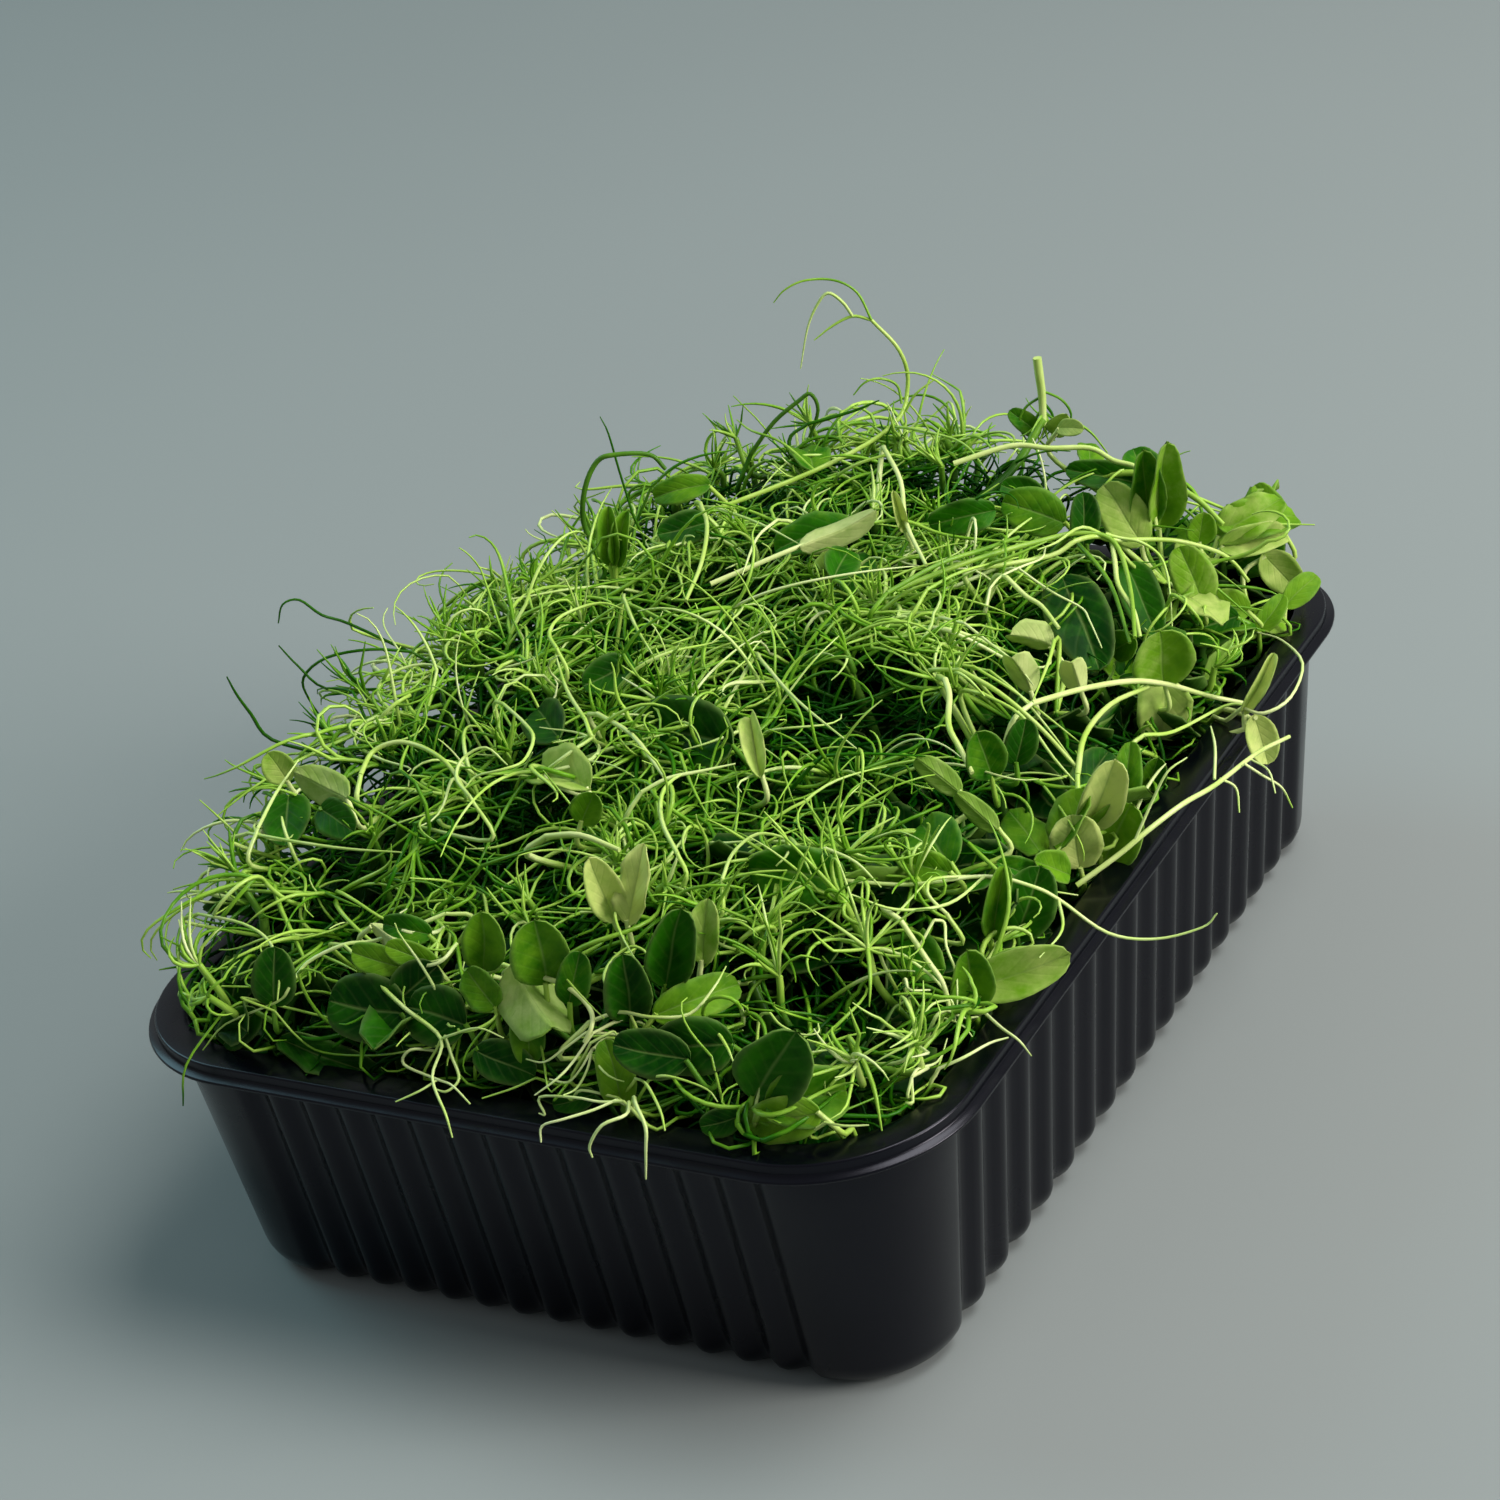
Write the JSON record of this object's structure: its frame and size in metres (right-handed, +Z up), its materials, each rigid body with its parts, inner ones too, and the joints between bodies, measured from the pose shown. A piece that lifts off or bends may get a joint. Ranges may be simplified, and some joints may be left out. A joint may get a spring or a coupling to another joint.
{
  "type": "pea shoot microgreens tray",
  "caption": "Black ribbed food tray with a flanged rim, heaped with cut pea shoots: curly tendrils, oval leaves and pale stems that rise above the rim and trail over it.",
  "frame": {"origin": "centre of the tray's flat underside, on the surface it stands on", "axes": "+Z up, X along the tray's short side, Y along its long side with +Y to the back"},
  "size_m": [0.1529, 0.1913, 0.0924],
  "materials": {
    "tray_plastic": "satin",
    "standing_greens": "satin",
    "loose_greens": "satin"
  },
  "bodies": {
    "root": {"pea_shoot_arching_stem": "loose_greens", "pea_shoot_arching_tendril": "loose_greens", "pea_shoot_back_leaves": "loose_greens", "pea_shoot_cut_end_up": "loose_greens", "pea_shoot_front_tendril": "loose_greens", "pea_shoot_over_right_rim": "loose_greens", "pea_shoot_pale_stem": "loose_greens", "pea_shoot_right_tendril": "loose_greens", "pea_shoot_row1_1": "standing_greens", "pea_shoot_row1_2": "standing_greens", "pea_shoot_row1_3": "standing_greens", "pea_shoot_row1_4": "standing_greens", "pea_shoot_row1_5": "standing_greens", "pea_shoot_row2_1": "standing_greens", "pea_shoot_row2_2": "standing_greens", "pea_shoot_row2_3": "standing_greens", "pea_shoot_row2_4": "standing_greens", "pea_shoot_row2_5": "standing_greens", "pea_shoot_row3_1": "standing_greens", "pea_shoot_row3_2": "standing_greens", "pea_shoot_row3_3": "standing_greens", "pea_shoot_row3_4": "standing_greens", "pea_shoot_row3_5": "standing_greens", "pea_shoot_row4_1": "standing_greens", "pea_shoot_row4_2": "standing_greens", "pea_shoot_row4_3": "standing_greens", "pea_shoot_row4_4": "standing_greens", "pea_shoot_row4_5": "standing_greens", "pea_shoot_row5_1": "standing_greens", "pea_shoot_row5_2": "standing_greens", "pea_shoot_row5_3": "standing_greens", "pea_shoot_row5_4": "standing_greens", "pea_shoot_row5_5": "standing_greens", "pea_shoot_row6_1": "standing_greens", "pea_shoot_row6_2": "standing_greens", "pea_shoot_row6_3": "standing_greens", "pea_shoot_row6_4": "standing_greens", "pea_shoot_row6_5": "standing_greens", "pea_shoot_row7_1": "standing_greens", "pea_shoot_row7_2": "standing_greens", "pea_shoot_row7_3": "standing_greens", "pea_shoot_row7_4": "standing_greens", "pea_shoot_row7_5": "standing_greens", "pea_shoot_row8_1": "standing_greens", "pea_shoot_row8_2": "standing_greens", "pea_shoot_row8_3": "standing_greens", "pea_shoot_row8_4": "standing_greens", "pea_shoot_row8_5": "standing_greens", "tray": "tray_plastic"}
  },
  "joints": []
}
